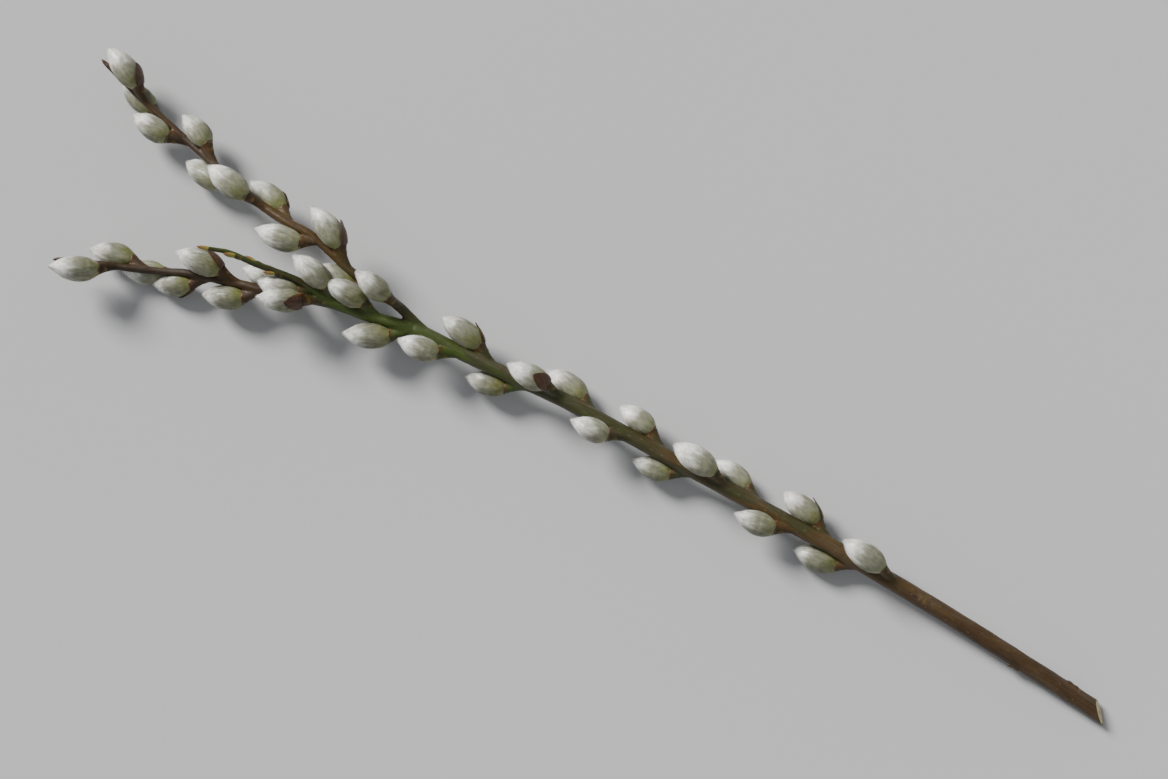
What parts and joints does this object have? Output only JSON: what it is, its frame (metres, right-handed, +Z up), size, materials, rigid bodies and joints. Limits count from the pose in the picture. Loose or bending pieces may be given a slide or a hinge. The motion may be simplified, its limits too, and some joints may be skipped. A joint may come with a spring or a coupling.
{
  "type": "willow branch",
  "caption": "Cut pussy willow branch, forked into two long shoots and a short twig, set with silky catkins and lying flat for arrangements and props.",
  "frame": {"origin": "centre of the footprint, on the surface the branch lies on", "axes": "+X along the branch towards its cut foot, the catkin tips point to -X; +Z up; the left shoot as it grows lies on the -Y side"},
  "size_m": [0.4655, 0.088, 0.0333],
  "materials": {
    "bark": "smooth, slightly glossy red-brown to olive-green bark",
    "catkin": "silky silver-white fur, greenish at the base"
  },
  "bodies": {
    "root": {"willow_branch": "bark"}
  },
  "joints": []
}
